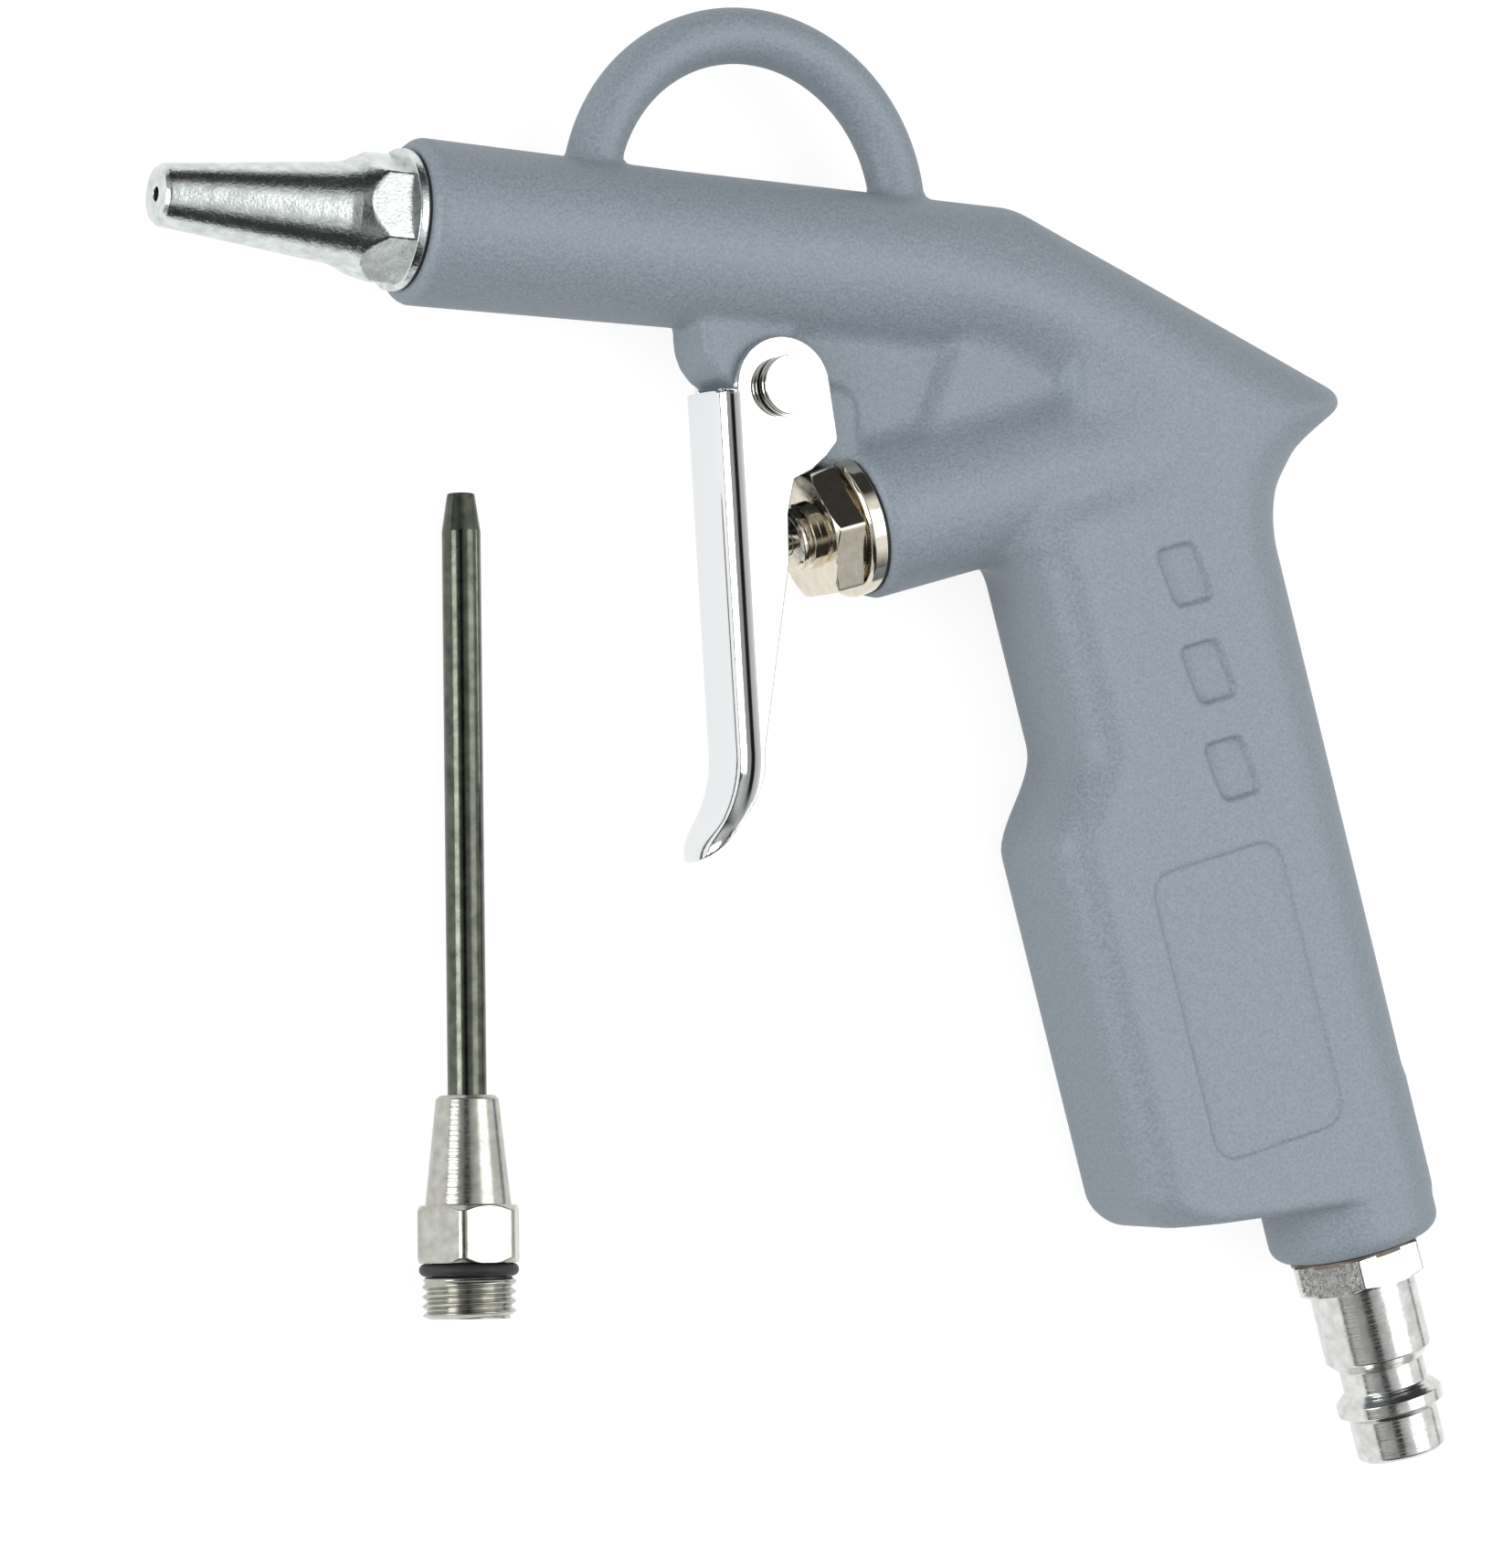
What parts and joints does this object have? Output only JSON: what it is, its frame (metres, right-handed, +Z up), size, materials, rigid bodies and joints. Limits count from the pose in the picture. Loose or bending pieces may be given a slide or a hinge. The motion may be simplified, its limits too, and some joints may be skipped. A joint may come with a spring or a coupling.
{
  "type": "pneumatic air duster",
  "caption": "Pistol-shaped compressed air blow gun with a trigger valve, short nozzle, quick plug inlet, hanging hook and a spare extension nozzle.",
  "frame": {"origin": "the gun lies on its side; origin is under the middle of the bounding box, on the surface it lies on", "axes": "+X runs along the barrel's axis from the nozzle towards the back, +Y runs from the grip's foot up to the hanging hook, +Z points up, square to the gun's middle plane"},
  "size_m": [0.1593, 0.1549, 0.0184],
  "materials": {
    "cast_body": "fine orange-peel powder coat over die-cast aluminium, blue grey, half matt",
    "trigger_plate": "bright chrome plate over bent sheet steel",
    "pin_steel": "bright steel, turned",
    "clip_steel": "spring steel, phosphated",
    "nickel_brass": "bright nickel plate over turned brass",
    "stem_steel": "ground stainless steel",
    "black_rubber": "nitrile rubber, black, matt",
    "spring_steel": "drawn stainless wire",
    "zinc_steel": "clear zinc plate over turned steel, slightly mottled",
    "plug_steel": "bright zinc plate over turned and hardened steel",
    "fibre_washer": "dark grey sealing washer",
    "tube_steel": "polished drawn steel tube",
    "bright_nickel": "nickel plate over turned brass, fine lathe marks"
  },
  "bodies": {
    "gun": {"body": "cast_body", "pivot_pin": "pin_steel", "pin_clip": "clip_steel", "valve_cartridge": "nickel_brass", "cartridge_gasket": "black_rubber", "cartridge_oring": "black_rubber", "gland_bush": "nickel_brass", "stem_oring": "black_rubber", "valve_spring": "spring_steel", "short_nozzle": "zinc_steel", "nozzle_washer": "zinc_steel", "nozzle_seal": "black_rubber", "quick_plug": "plug_steel", "plug_washer": "fibre_washer", "extension_tube": "tube_steel", "extension_adapter": "bright_nickel", "extension_ring": "black_rubber"},
    "trigger": {"trigger": "trigger_plate"},
    "stem": {"valve_stem": "stem_steel", "valve_disc": "black_rubber"}
  },
  "joints": [
    {"name": "trigger_pivot", "type": "hinge", "parent": "gun", "child": "trigger", "pos_m": [-0.01052, 0.03661, 0.0092], "axis": [0, 0, 1], "range_deg": [0, 10.4], "stiffness_Nm_per_rad": 0.5},
    {"name": "valve_slide", "type": "slide", "parent": "gun", "child": "stem", "axis": [0.9521, 0.3057, 0], "range_m": [0, 0.00316], "deforming": ["valve_spring"]}
  ],
  "couplings": [
    {"joint": "valve_slide", "follows": "trigger_pivot", "m_per_rad": 0.017316}
  ]
}
